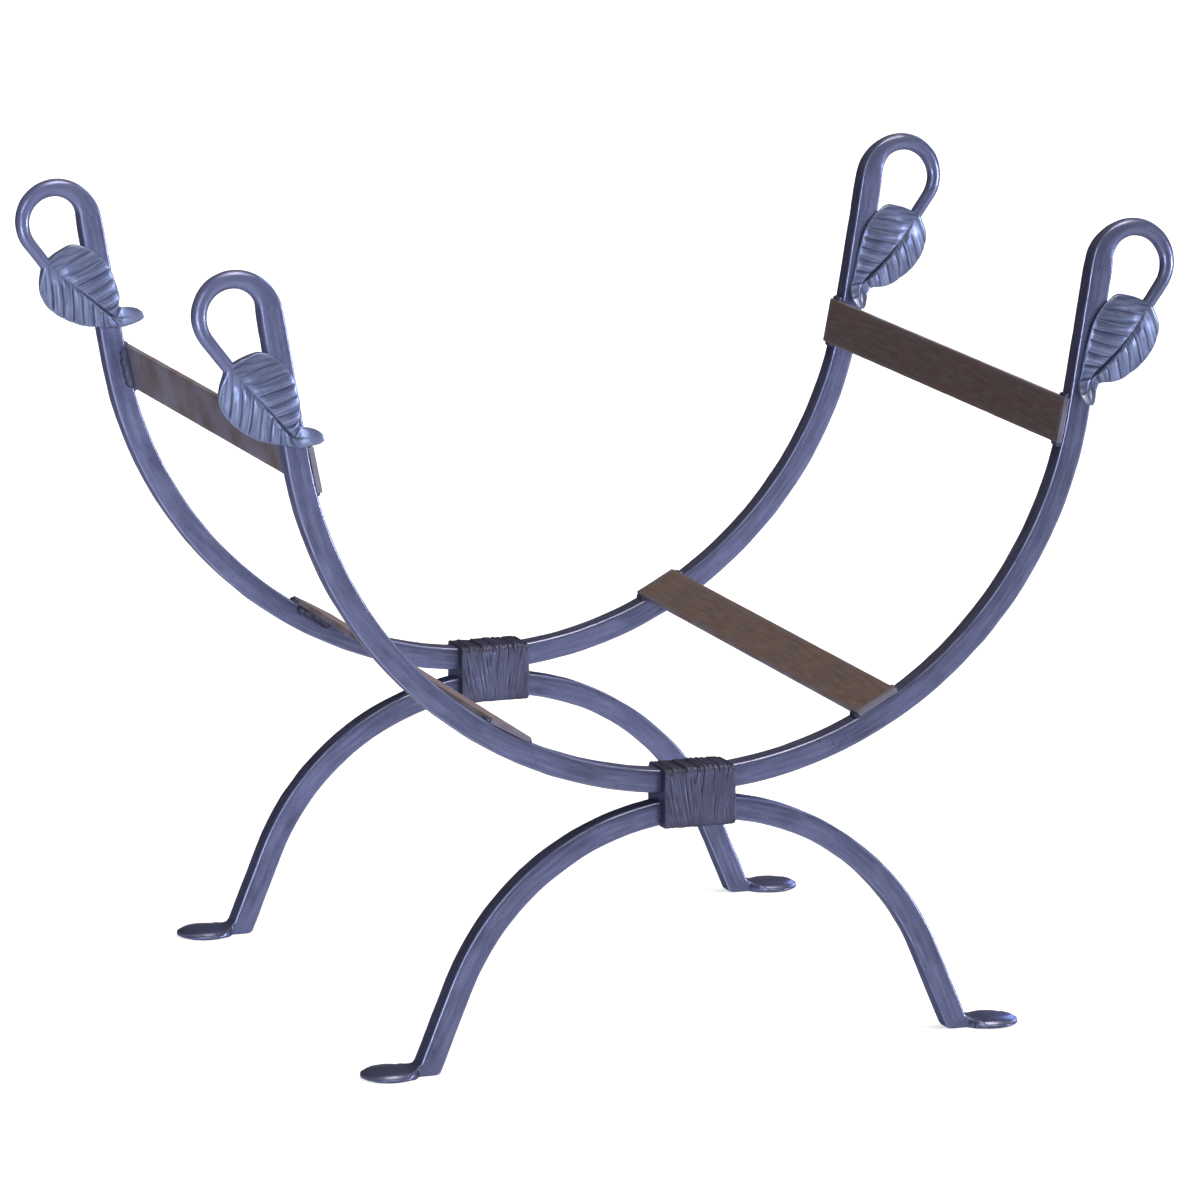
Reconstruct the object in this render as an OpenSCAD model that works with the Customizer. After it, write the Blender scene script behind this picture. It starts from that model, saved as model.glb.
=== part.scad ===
// Forged steel log holder. Two open hoops of square bar stand on arched legs,
// bound to them by hammered collars, and are joined by four flat cross bars.
// Each hoop arm ends in an outward crook whose tip is a veined leaf.
// X runs across the hoops, Y from front to rear, Z up from the floor.

/* [Frame] */
// Side of the square bar used for hoops, arms and legs
bar = 12.7; // [10:0.1:16]
// Distance from the front hoop to the rear hoop, face to face the same way
hoop_pitch = 350; // [250:1:450]

/* [Hoops] */
// Radius of the hoop, to the middle of the bar
hoop_radius = 226.4; // [200:0.1:250]
// Angle below the hoop's middle where each arm leaves the circle, which is also its lean
arm_lean = 9.5; // [6:0.1:13]
// Length of the straight arm from the circle to the crook
arm_length = 85; // [75:0.5:110]

/* [Crooks] */
// Radius of the crook's bend, to the middle of the rod
crook_radius = 19.7; // [18:0.1:26]
// Angle that the crook turns through, from the arm to the leaf
crook_turn = 207.5; // [195:0.5:215]
// Straight length of the rod between the bend and the leaf
crook_tail = 13.5; // [8:0.5:20]
// Diameter of the rod where it has become round, at the top of the crook
crook_top_d = 10.9; // [9:0.1:12.5]
// Diameter of the rod where it meets the leaf
crook_end_d = 7.2; // [5:0.1:8.5]

/* [Leaves] */
// Length of a leaf from its stem to its tip
leaf_length = 66; // [50:0.5:76]
// Width of a leaf across its lobes
leaf_width = 41.3; // [30:0.1:44]
// Thickness of the leaf's blade
leaf_thick = 2.3; // [1.5:0.1:3]
// How far the curled tip reaches in front of the arm's face
leaf_curl = 12.5; // [9.7:0.1:18]
// Backward slope of the leaf's outer half, in degrees from flat
leaf_fold = 18; // [8:0.5:22]
// Angle by which the front left leaf lies flatter than the right ones
front_left_lift = 4; // [0:0.5:12]
// Angle by which the rear left leaf lies flatter than the right ones
rear_left_lift = 13; // [0:0.5:15]
// How much longer the rod of the front left crook is
front_left_drop = 5; // [0:0.5:8]
// Sideways turn of the tail on the left leaves, towards the arm
left_tail_turn = 55; // [30:1:70]
// Sideways bend of the right leaves towards the arm, before their tail
right_leaf_bow = 9; // [0:1:15]
// Turn of the tail on the right leaves, which is down, away from the bow
right_tail_turn = -22; // [-40:1:0]

/* [Legs] */
// Radius of the leg arch, to the middle of the bar
arch_radius = 146.3; // [120:0.1:160]
// Angle from the arch's top to where the straight leg starts
arch_angle = 67.5; // [60:0.5:75]
// Straight length of each leg, down to the floor
leg_length = 50.1; // [40:0.1:80]
// Radius of the hollow between the leg and the top of the foot
heel_radius = 6; // [2:0.1:9]
// Diameter of the round flattened foot
foot_d = 32; // [26:0.5:44]
// Thickness of the flattened foot
foot_thick = 4.4; // [3:0.1:9]
// Distance along the floor from the middle of the leg to the middle of the foot
foot_reach = 19.9; // [18:0.1:26]

/* [Collars] */
// Width of each collar across the hoop
collar_width = 41; // [30:0.5:60]
// How far a collar stands proud in front of the bars and behind them
collar_proud = 8; // [4:0.1:12]
// Thickness of a collar above the hoop's bar and below the arch's bar
collar_wrap = 2.6; // [1.5:0.1:5]
// Gap between hoop and arch at the middle of the collar
bar_gap = 2.8; // [1:0.1:6]
// Corner radius of a collar's cross-section
collar_round = 4; // [1:0.1:6]

/* [Cross bars] */
// Width of the flat cross bars
flat_width = 25.4; // [18:0.1:30]
// Thickness of the flat cross bars
flat_thick = 3.2; // [2:0.1:6]
// Angle of the two upper cross bars below the hoop's middle
upper_angle = 10.9; // [9:0.1:30]
// Angle of the two lower cross bars from the bottom of the hoop
lower_angle = 29; // [20:0.5:45]
// Leg of the fillet welds beside each cross bar
weld_leg = 2.4; // [1:0.1:3]

/* [Hidden] */
$fn = 96;

STEEL = "#6f7684";
DARK_STEEL = "#5b606c";

// Heights, from the floor up
arch_z = leg_length * sin(arch_angle) - arch_radius * cos(arch_angle);
arch_top_z = arch_z + arch_radius + bar / 2;
hoop_z = arch_top_z + bar_gap + bar / 2 + hoop_radius;

// Leg and foot, seen from the front
leg_start = [arch_radius * sin(arch_angle), arch_z + arch_radius * cos(arch_angle)];
leg_x = leg_start[0] + leg_length * cos(arch_angle);
foot_x = leg_x + foot_reach;

// Arm and crook, seen from the front
arm_start = [hoop_radius * cos(arm_lean), hoop_z - hoop_radius * sin(arm_lean)];
arm_end = arm_start + arm_length * [sin(arm_lean), cos(arm_lean)];
crook_middle = arm_end + crook_radius * [cos(arm_lean), -sin(arm_lean)];
first_angle = 180 - arm_lean;
last_angle = first_angle - crook_turn;
leaf_dir = [sin(last_angle), -cos(last_angle)];
leaf_side = [-leaf_dir[1], leaf_dir[0]];
crook_bend_end = crook_middle + crook_radius * [cos(last_angle), sin(last_angle)];
leaf_start = crook_bend_end + crook_tail * leaf_dir;

// Length of the tapered tongue with which a straight run reaches into a bend, so that the bar is one piece
tongue = 1;

// How far each side of an arm lies inside the bar's face, which is too little to see or feel
arm_ease = 0.01;

// Straight steps round the hollow above each foot
hollow_steps = 8;

// Places along Y, with the whole part centred on Y = 0
frame_depth = hoop_pitch + bar;
rear_reach = max(collar_proud, (foot_d - bar) / 2);
front_reach = max(rear_reach, leaf_curl);
front_y = (front_reach - rear_reach - frame_depth) / 2;
rear_y = front_y + hoop_pitch;

// Crook: rings along the rod, and points round each ring
bend_steps = 22;
tail_steps = 4;
ring_points = 16;
square_turn = 6;
round_turn = 60;
shift_turn = 110;
stem_y = 1.5;

// Turn of the rod, past its own bend, over which its straight end goes on moving forward
tail_drift = 40;

// Leaf: half widths along it, as shares of its width. Each pair starts with the distance
// along the leaf, as a share of its length from stem to tip.
stem_share = crook_end_d / 2 / leaf_width;
OUTER_EDGE = [
    [0, stem_share], [0.06, 0.25], [0.14, 0.37], [0.25, 0.445], [0.38, 0.453], [0.52, 0.405],
    [0.60, 0.355], [0.68, 0.27], [0.75, 0.175], [0.80, 0.125], [0.86, 0.12], [0.92, 0.10], [0.97, 0.065], [1, 0.03]
];
INNER_EDGE = [
    [0, stem_share], [0.02, 0.25], [0.08, 0.425], [0.19, 0.52], [0.31, 0.547], [0.45, 0.51],
    [0.58, 0.405], [0.68, 0.305], [0.75, 0.21], [0.81, 0.145], [0.86, 0.125], [0.92, 0.10], [0.97, 0.065], [1, 0.03]
];
// Places along the leaf: end of its neck, highest point of its ridge, root of its tail,
// and where the tail starts and ends its sideways turn
neck_end = 0.2;
crest = 0.43;
tail_root = 0.79;
turn_from = 0.69;
turn_to = 0.90;
// Where the fold of the outer half starts and ends to flatten out, so that it clears the arm
flat_from = 0.5;
flat_to = 0.72;
// Heights of the ridge in front of the arm's face. At the tail's root the leaf lies on the arm.
inner_slope = 0.05;
seat_share = 0.18;
ridge_low = leaf_thick + seat_share * leaf_width * inner_slope;
crest_rise = 2.7;
ridge_high = leaf_thick + crest_rise;
stem_front = crook_end_d / 2 - stem_y;
stem_thick = 6;
leaf_steps = 26;
half_steps = 5;
// Share of the tail's bend radius that its inner edge may take up
bend_share = 0.9;

function smooth(t) = let (u = min(max(t, 0), 1)) u * u * (3 - 2 * u);
function mix(a, b, t) = a + (b - a) * t;

// Quads of a closed tube of rings, as triangles
function ring_faces(rings, points) = [
    for (i = [0 : rings - 2], j = [0 : points - 1])
        let (k = (j + 1) % points, a = i * points, b = a + points)
            each [[a + j, a + k, b + k], [a + j, b + k, b + j]]
];

// Straight prism in the XZ plane, with its front face at y = 0
module plate(depth) {
    translate([0, depth, 0]) rotate([90, 0, 0]) linear_extrude(depth) children();
}

// Part of a ring of square bar round the Y axis, from one angle to another
module bar_arc(radius, from, to) {
    translate([0, bar, 0])
        rotate([90, 0, 0])
            rotate([0, 0, from])
                rotate_extrude(angle = to - from, $fn = 180)
                    translate([radius - bar / 2, 0]) square(bar);
}

// Outline of a straight arm on x = 0, upwards from where the hoop's bend ends. It is a hair narrower
// than the bar and reaches into the bend, so that the two join as one solid with clean edges.
module arm_outline() {
    translate([arm_ease - bar / 2, -tongue]) square([bar - 2 * arm_ease, arm_length + tongue]);
}

// Outline of a bent bar, from one angle to another round a point
module bend_outline(radius, from, to) {
    reach = 3 * radius;
    intersection() {
        difference() {
            circle(radius + bar / 2, $fn = 180);
            circle(radius - bar / 2, $fn = 180);
        }
        polygon(concat(
            [[0, 0]],
            [for (angle = [from, (from + to) / 2, to]) reach * [cos(angle), sin(angle)]]
        ));
    }
}

module both_sides() {
    children();
    mirror([1, 0, 0]) children();
}

// Hoop with its two leaning arms, from its front face at y = 0
module hoop() {
    translate([0, 0, hoop_z]) {
        bar_arc(hoop_radius, -180 + arm_lean, -arm_lean);
        plate(bar)
            both_sides()
                rotate([0, 0, -arm_lean]) translate([hoop_radius, 0]) arm_outline();
    }
}

// Outline of one leg and of its flattened foot, seen from its edge, with a hollow between their tops
module leg_outline() {
    half = bar / 2;
    core = half - tongue;
    leg_dir = [cos(arch_angle), -sin(arch_angle)];
    leg_out = [sin(arch_angle), cos(arch_angle)];
    // Middle of the hollow, and the angle from which it runs on to the top of the foot
    hollow_z = foot_thick + heel_radius;
    hollow_x = leg_x - hollow_z / tan(arch_angle) + (half + heel_radius) / sin(arch_angle);
    polygon(concat(
        [
            leg_start + half * leg_out, leg_start + core * leg_out - tongue * leg_dir,
            leg_start - core * leg_out - tongue * leg_dir, leg_start - half * leg_out,
            [leg_x - half / sin(arch_angle), 0], [foot_x, 0], [foot_x, foot_thick]
        ],
        [
            for (i = [0 : hollow_steps])
                let (angle = -90 - arch_angle * i / hollow_steps)
                    [hollow_x, hollow_z] + heel_radius * [cos(angle), sin(angle)]
        ]
    ));
}

module leg_arch() {
    plate(bar) {
        translate([0, arch_z]) bend_outline(arch_radius, 90 - arch_angle, 90 + arch_angle);
        both_sides() leg_outline();
    }
    both_sides() translate([foot_x, bar / 2, 0]) cylinder(d = foot_d, h = foot_thick);
}

module rounded_rectangle(size, radius) {
    translate([radius, 0]) square([size[0] - 2 * radius, size[1]]);
    translate([0, radius]) square([size[0], size[1] - 2 * radius]);
    for (x = [radius, size[0] - radius], y = [radius, size[1] - radius])
        translate([x, y]) circle(radius, $fn = 48);
}

// Collar that grips hoop and arch, with both bars cut out of it
module collar() {
    low = arch_top_z - bar - collar_wrap;
    high = arch_top_z + bar_gap + bar + collar_wrap;
    hoop_reach = asin((collar_width / 2 + tongue) / (hoop_radius - bar / 2));
    arch_reach = asin((collar_width / 2 + tongue) / (arch_radius - bar / 2));
    difference() {
        translate([-collar_width / 2, -collar_proud, low])
            rotate([90, 0, 90])
                linear_extrude(collar_width)
                    rounded_rectangle([bar + 2 * collar_proud, high - low], collar_round);
        translate([0, 0, hoop_z]) bar_arc(hoop_radius, -90 - hoop_reach, -90 + hoop_reach);
        translate([0, 0, arch_z]) bar_arc(arch_radius, 90 - arch_reach, 90 + arch_reach);
    }
}

// Distance of a cross bar's outer face from the hoop's middle, where both edges touch the bar
inner_radius = hoop_radius - bar / 2;
flat_outer = sqrt(inner_radius * inner_radius - flat_width * flat_width / 4);

// Angles of the cross bars round the hoop, on its right side
upper_place = -upper_angle;
lower_place = lower_angle - 90;

module cross_bar(place) {
    translate([0, 0, hoop_z])
        rotate([0, -place, 0])
            translate([flat_outer - flat_thick, 0, -flat_width / 2])
                cube([flat_thick, frame_depth, flat_width]);
}

// Fillet welds along both long edges of each cross bar, where it lies on one hoop
module welds() {
    edge_angle = asin(flat_width / 2 / inner_radius);
    toe_angle = edge_angle + weld_leg / inner_radius * 180 / PI;
    both_sides()
        for (place = [upper_place, lower_place], edge = [-1, 1])
            translate([0, 0, hoop_z])
                rotate([0, -place, 0])
                    plate(bar)
                        polygon([
                            [flat_outer, edge * flat_width / 2],
                            [flat_outer - weld_leg, edge * flat_width / 2],
                            inner_radius * [cos(toe_angle), edge * sin(toe_angle)]
                        ]);
}

// Radius of the square section, or of the round one, at an angle round the ring
function square_radius(t) = bar / 2 / max(abs(cos(t)), abs(sin(t)));
function rod_radius(along) = mix(crook_top_d, crook_end_d, smooth(along)) / 2;
function section_radius(turn, along, t) =
    mix(square_radius(t), rod_radius(along), smooth((turn - square_turn) / (round_turn - square_turn)));

// One ring of the crook round a point on the rod, square to the rod
function crook_ring(point, angle, y, turn, along) = [
    for (k = [0 : ring_points - 1])
        let (t = 360 * k / ring_points, r = section_radius(turn, along, t))
            [point[0] + r * cos(t) * cos(angle), y + r * sin(t), point[1] + r * cos(t) * sin(angle)]
];

// Middle of a ring, halfway between its extremes along each axis
function middle(ring) = [
    for (axis = [0 : 2])
        let (values = [for (p = ring) p[axis]])
            (max(values) + min(values)) / 2
];

bend_length = crook_turn * PI / 180 * crook_radius;
function rod_y(turn) =
    mix(bar / 2, stem_y, smooth((turn - shift_turn) / (crook_turn + tail_drift - shift_turn)));

// Tapering rod that turns from square to round on its way from the arm to the leaf,
// with a straight tail of a given length
module crook(tail) {
    rod_length = bend_length + tail;
    bend_rings = [
        for (i = [0 : bend_steps])
            let (turn = crook_turn * i / bend_steps, angle = first_angle - turn)
                crook_ring(crook_middle + crook_radius * [cos(angle), sin(angle)], angle,
                    rod_y(turn), turn, bend_length * i / bend_steps / rod_length)
    ];
    tail_rings = [
        for (i = [1 : tail_steps])
            let (run = tail * i / tail_steps)
                crook_ring(crook_bend_end + run * leaf_dir, last_angle,
                    rod_y(crook_turn + tail_drift * i / tail_steps), crook_turn, (bend_length + run) / rod_length)
    ];
    rings = concat(bend_rings, tail_rings);
    count = len(rings);
    points = concat([for (ring = rings) each ring], [middle(rings[0]), middle(rings[count - 1])]);
    last = (count - 1) * ring_points;
    polyhedron(points, concat(
        ring_faces(count, ring_points),
        [for (k = [0 : ring_points - 1]) [len(points) - 2, (k + 1) % ring_points, k]],
        [for (k = [0 : ring_points - 1]) [len(points) - 1, last + k, last + (k + 1) % ring_points]]
    ));
}

// Height of the leaf's ridge in front of the arm's face: up to the crest, down to the arm,
// and forward again along the curled tail
function ridge(u) =
    u < crest ? mix(stem_front, ridge_high, smooth(u / crest))
    : u < tail_root ? mix(ridge_high, ridge_low, smooth((u - crest) / (tail_root - crest)))
    : mix(ridge_low, leaf_curl, pow((u - tail_root) / (1 - tail_root), 2));
function blade_thick(u) = mix(stem_thick, leaf_thick, smooth(u / neck_end));
function fold_share(u) = smooth(u / neck_end) * (1 - smooth((u - flat_from) / (flat_to - flat_from)));
function leaf_front(u, w) = -ridge(u) + (w > 0 ? w * tan(leaf_fold) * fold_share(u) : -w * inner_slope);

// Direction of the midrib in the leaf's own plane, and the midrib's place, at a step along it
rib_step = leaf_length / leaf_steps;
function rib_turn(i, bow, tail_turn) =
    let (u = i / leaf_steps)
        mix(bow * smooth(u / turn_from), tail_turn, smooth((u - turn_from) / (turn_to - turn_from)));
function rib_place(i, bow, tail_turn) =
    let (turn = rib_turn(i - 0.5, bow, tail_turn))
        i == 0 ? [0, 0] : rib_place(i - 1, bow, tail_turn) + rib_step * [cos(turn), -sin(turn)];

// Half width of one side of the leaf, kept within the radius where the midrib bends to that side.
// The side is 1 for the inner half, towards the arm, and -1 for the outer one.
function half_width(i, edge, side, bow, tail_turn) =
    let (
        width = leaf_width * lookup(i / leaf_steps, edge),
        turned = rib_turn(i + 0.5, bow, tail_turn) - rib_turn(i - 0.5, bow, tail_turn),
        bend = side * turned * PI / 180
    )
        bend > 0 ? min(width, bend_share * rib_step / bend) : width;

// Point at a step along the leaf and a distance across it, in the part's own axes
function leaf_point(i, w, y, lift, bow, tail_turn) =
    let (
        turn = rib_turn(i, bow, tail_turn),
        flat = rib_place(i, bow, tail_turn) + w * [sin(turn), cos(turn)],
        along = flat[0] * cos(lift) + flat[1] * sin(lift),
        across = flat[1] * cos(lift) - flat[0] * sin(lift)
    )
        [leaf_start[0] + along * leaf_dir[0] + across * leaf_side[0], y,
            leaf_start[1] + along * leaf_dir[1] + across * leaf_side[1]];

// Folded leaf with its curled tip, as rings across it from stem to tip
module leaf(lift, bow, tail_turn) {
    ring_size = 2 * (2 * half_steps + 1);
    rings = [
        for (i = [0 : leaf_steps])
            let (
                u = i / leaf_steps,
                outer = half_width(i, OUTER_EDGE, -1, bow, tail_turn),
                inner = half_width(i, INNER_EDGE, 1, bow, tail_turn),
                spread = concat(
                    [for (j = [-half_steps : 0]) inner * j / half_steps],
                    [for (j = [1 : half_steps]) outer * j / half_steps]
                ),
                count = len(spread)
            )
                concat(
                    [for (w = spread) leaf_point(i, w, leaf_front(u, w), lift, bow, tail_turn)],
                    [for (j = [count - 1 : -1 : 0])
                        leaf_point(i, spread[j], leaf_front(u, spread[j]) + blade_thick(u), lift, bow, tail_turn)]
                )
    ];
    points = [for (ring = rings) each ring];
    last = leaf_steps * ring_size;
    half = ring_size / 2;
    polyhedron(points, concat(
        ring_faces(leaf_steps + 1, ring_size),
        [for (j = [0 : half - 2]) each cap(0, j, ring_size, true)],
        [for (j = [0 : half - 2]) each cap(last, j, ring_size, false)]
    ));
}

// Two triangles that close one strip between the front and the back of a leaf's end
function cap(base, j, size, first) =
    let (a = base + j, b = base + j + 1, c = base + size - 2 - j, d = base + size - 1 - j)
        first ? [[a, c, b], [a, d, c]] : [[a, b, c], [a, c, d]];

module front_hoop() { color(STEEL) translate([0, front_y, 0]) hoop(); }
module rear_hoop() { color(STEEL) translate([0, rear_y, 0]) hoop(); }
module front_leg_arch() { color(STEEL) translate([0, front_y, 0]) leg_arch(); }
module rear_leg_arch() { color(STEEL) translate([0, rear_y, 0]) leg_arch(); }
module front_collar() { color(DARK_STEEL) translate([0, front_y, 0]) collar(); }
module rear_collar() { color(DARK_STEEL) translate([0, rear_y, 0]) collar(); }
module right_bar(place) { color(STEEL) translate([0, front_y, 0]) cross_bar(place); }
module left_bar(place) { mirror([1, 0, 0]) right_bar(place); }
module right_crook(y, tail = crook_tail) { color(STEEL) translate([0, y, 0]) crook(tail); }
module left_crook(y, tail = crook_tail) { mirror([1, 0, 0]) right_crook(y, tail); }
module right_leaf(y) { color(STEEL) translate([0, y, 0]) leaf(0, right_leaf_bow, right_tail_turn); }
module left_leaf(y, lift, drop) {
    color(STEEL)
        mirror([1, 0, 0])
            translate([drop * leaf_dir[0], y, drop * leaf_dir[1]])
                leaf(lift, 0, left_tail_turn);
}
module front_welds() { color(DARK_STEEL) translate([0, front_y, 0]) welds(); }
module rear_welds() { color(DARK_STEEL) translate([0, rear_y, 0]) welds(); }

front_hoop();
rear_hoop();
front_leg_arch();
rear_leg_arch();
front_collar();
rear_collar();
left_bar(upper_place);  // upper_left_cross_bar
right_bar(upper_place);  // upper_right_cross_bar
left_bar(lower_place);  // lower_left_cross_bar
right_bar(lower_place);  // lower_right_cross_bar
left_crook(front_y, crook_tail + front_left_drop);  // front_left_crook
right_crook(front_y);  // front_right_crook
left_crook(rear_y);  // rear_left_crook
right_crook(rear_y);  // rear_right_crook
left_leaf(front_y, front_left_lift, front_left_drop);  // front_left_leaf
right_leaf(front_y);  // front_right_leaf
left_leaf(rear_y, rear_left_lift, 0);  // rear_left_leaf
right_leaf(rear_y);  // rear_right_leaf
front_welds();
rear_welds();
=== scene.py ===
# %% [markdown]
# # A forged log holder
# The real object is hearth ironwork: square steel bar, bent hot into two open hoops on arched legs,
# bound with hammered collars, and joined by flat bars. Each arm ends in a crook and a veined leaf.
# The frame that is loaded here holds the plain solids. What is added in this file is what a smith
# leaves behind: rounded corners, hammer marks, drawn-out tips and pressed veins.

import math

import bmesh
import bpy
from mathutils import Matrix, Vector, noise


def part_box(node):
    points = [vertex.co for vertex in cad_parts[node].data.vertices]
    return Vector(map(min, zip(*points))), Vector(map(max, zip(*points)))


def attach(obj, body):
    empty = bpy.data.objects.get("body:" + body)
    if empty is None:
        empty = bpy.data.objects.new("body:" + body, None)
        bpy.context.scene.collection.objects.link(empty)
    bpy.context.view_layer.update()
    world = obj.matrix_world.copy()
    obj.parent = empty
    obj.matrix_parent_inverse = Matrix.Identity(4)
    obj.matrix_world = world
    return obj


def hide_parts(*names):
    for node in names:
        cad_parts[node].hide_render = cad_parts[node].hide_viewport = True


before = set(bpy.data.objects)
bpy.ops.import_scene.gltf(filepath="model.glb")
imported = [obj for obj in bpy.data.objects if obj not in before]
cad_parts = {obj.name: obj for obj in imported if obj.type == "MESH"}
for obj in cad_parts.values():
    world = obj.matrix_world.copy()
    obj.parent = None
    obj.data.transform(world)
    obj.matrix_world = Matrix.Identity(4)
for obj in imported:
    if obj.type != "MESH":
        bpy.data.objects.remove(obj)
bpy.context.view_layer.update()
print("solids loaded:", len(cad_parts))

# %% [markdown]
# ## Sizes
# All lengths are in millimetres, as a smith would say them, and are turned into metres when a point is
# made. Angles are in degrees. X runs across the hoops, Y from front to rear and Z up. The sizes are
# those of the solids, and the places along Y and the heights are read from the frame, so the looks stay
# on the solids.

# %% Sizes of the holder
MM = 0.001
BAR = 12.7
CORNER = 1.3
HOOP_RADIUS = 226.4
ARM_LEAN = 9.5
ARM_LENGTH = 85.0
CROOK_RADIUS = 19.7
CROOK_TURN = 207.5
CROOK_TAIL = 13.5
ROD_TOP = 10.9
ROD_END = 7.2
ARCH_RADIUS = 146.3
ARCH_ANGLE = 67.5
LEG_LENGTH = 50.1
FOOT_D = 32.0
FOOT_THICK = 4.4
FOOT_REACH = 19.9
FLAT_WIDTH = 25.4
FLAT_THICK = 3.2
UPPER_ANGLE = 10.9
LOWER_ANGLE = 29.0


def face_y(node):
    """Place of a bar's front face along Y, in millimetres."""
    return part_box(node)[0].y / MM


FRONT_Y = face_y("front_hoop")
REAR_Y = face_y("rear_hoop")
HOOP_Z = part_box("front_hoop")[0].z / MM + BAR / 2 + HOOP_RADIUS
ARCH_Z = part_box("front_leg_arch")[1].z / MM - BAR / 2 - ARCH_RADIUS
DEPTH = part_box("upper_left_cross_bar")[1].y / MM - FRONT_Y
print(f"hoops at y {FRONT_Y:.1f} and {REAR_Y:.1f} mm, middle of the hoops at z {HOOP_Z:.1f} mm")

# %% [markdown]
# ## Camera
# The camera stands where the photograph was taken from: far away with a long lens, to the left of the
# holder and a little above it, which keeps the two hoops almost the same size. It is made first, so
# that each new piece can be looked at from there.

# %% Camera
CAMERA_AT = Vector((-1527.1, FRONT_Y - 4239.5, 1150.8)) * MM
YAW, PITCH, ROLL = (math.radians(a) for a in (19.152, 11.276, -0.254))
LENS, SENSOR_WIDTH = 254.77, 36
ahead = Vector((math.sin(YAW) * math.cos(PITCH), math.cos(YAW) * math.cos(PITCH), -math.sin(PITCH)))
level = Vector((math.cos(YAW), -math.sin(YAW), 0))
upward = level.cross(ahead)
right = math.cos(ROLL) * level + math.sin(ROLL) * upward
up = math.cos(ROLL) * upward - math.sin(ROLL) * level
camera = bpy.data.objects.new("camera", bpy.data.cameras.new("camera"))
bpy.context.scene.collection.objects.link(camera)
camera.matrix_world = Matrix.Translation(CAMERA_AT) @ Matrix((right, up, -ahead)).transposed().to_4x4()
camera.data.lens = LENS
camera.data.sensor_width = SENSOR_WIDTH
camera.data.clip_end = 100
bpy.context.scene.camera = camera
print("camera at", [round(c, 2) for c in CAMERA_AT], "lens", LENS, "mm")

# %% [markdown]
# ## The section of the bar
# Everything starts from one outline: the end of a square bar with rounded corners. It is a one-face
# grid whose corners are bevelled. Its flats are cut into short edges, so that they can take hammer
# marks, and swell a little in the middle, as faces that were hammered do. Two layers go with each
# point and are copied by every extrusion: how near it is to a corner, and where it lies in the
# section. The materials read both.

# %% Outline of the bar
HALF = BAR / 2
CROWN = 0.25
CORNER_STEPS, FLAT_CUTS = 5, 5


def smooth(t):
    """Eased step, from 0 at 0 to 1 at 1, and flat outside."""
    t = min(max(t, 0.0), 1.0)
    return t * t * (3 - 2 * t)


def mix(a, b, t):
    """Value a where t is 0, b where it is 1."""
    return a + (b - a) * t


def bar_outline(bm):
    """One face in the XY plane with the bar's rounded outline, and its layers."""
    bmesh.ops.create_grid(bm, x_segments=1, y_segments=1, size=HALF * MM)
    bmesh.ops.bevel(bm, geom=bm.verts[:], offset=CORNER * MM, offset_type="OFFSET",
                    segments=CORNER_STEPS, profile=0.5, affect="VERTICES", material=-1)
    flats = [e for e in bm.edges if e.calc_length() > HALF / 2 * MM]
    bmesh.ops.subdivide_edges(bm, edges=flats, cuts=FLAT_CUTS)
    edge = bm.verts.layers.float.new("edge")
    grain = bm.verts.layers.float_vector.new("grain")
    for v in bm.verts:
        a, b = v.co.x / MM, v.co.y / MM
        # How near a corner: the finish paints corners lighter, as rubbed wear and as a painted highlight
        # along the edge
        v[edge] = smooth((min(abs(a), abs(b)) - (HALF - CORNER)) / (0.7 * CORNER))
        swell = 1 + CROWN / HALF * (1 - (min(abs(a), abs(b)) / HALF) ** 2)
        v.co.x, v.co.y = v.co.x * swell, v.co.y * swell
        v[grain] = Vector((a * swell, b * swell, 0))
    return bm.faces[:][0]


trial = bmesh.new()
bar_outline(trial)
print("points round the bar:", len(trial.verts))
trial.free()

# %% [markdown]
# ## Bending and drawing out
# A smith has two moves for a bar: bend it round a horn, and draw it out straight. In bmesh they are
# spin and extrude. Both take the end face and give the new end face, so that a bar is made move by
# move, as at the anvil. A point of the path is given in the XZ plane, seen from the front.

# %% Moves for a bar
def place_outline(bm, face, point, outward, y):
    """Moves the outline to a point of the path. Outward is the angle of its first axis."""
    first = Vector((math.cos(math.radians(outward)), 0, math.sin(math.radians(outward))))
    across = Vector((0, 1, 0))
    turn = Matrix((first, across, first.cross(across))).transposed().to_4x4()
    middle = Vector((point[0], y, point[1])) * MM
    bmesh.ops.transform(bm, matrix=Matrix.Translation(middle) @ turn, verts=face.verts[:])
    return face


def bend(bm, face, centre, angle, steps):
    """Swings the end face round a centre, clockwise seen from the front where the angle is positive."""
    swung = bmesh.ops.spin(bm, geom=[face], cent=Vector((centre[0], 0, centre[1])) * MM, axis=(0, 1, 0),
                           angle=math.radians(angle), steps=steps, use_merge=False, use_duplicate=False)
    return next(g for g in swung["geom_last"] if isinstance(g, bmesh.types.BMFace))


def draw_out(bm, face, direction, length, steps):
    """Extrudes the end face along a direction in the XZ plane, in equal steps."""
    step = Vector((direction[0], 0, direction[1])) * (length / steps * MM)
    for _ in range(steps):
        out = bmesh.ops.extrude_face_region(bm, geom=[face])["geom"]
        face = next(g for g in out if isinstance(g, bmesh.types.BMFace))
        bmesh.ops.translate(bm, vec=step, verts=face.verts[:])
    return face


def direction(angle):
    """Unit step in the XZ plane at an angle from X towards Z."""
    return math.cos(math.radians(angle)), math.sin(math.radians(angle))


TRIAL_LENGTH = 50.0
trial = bmesh.new()
draw_out(trial, bar_outline(trial), direction(90), TRIAL_LENGTH, 5)
section = abs(trial.calc_volume()) / MM ** 3 / TRIAL_LENGTH
print(f"a trial bar has a section of {section:.1f} mm2, and a square of its size {BAR ** 2:.1f} mm2")
trial.free()

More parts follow.
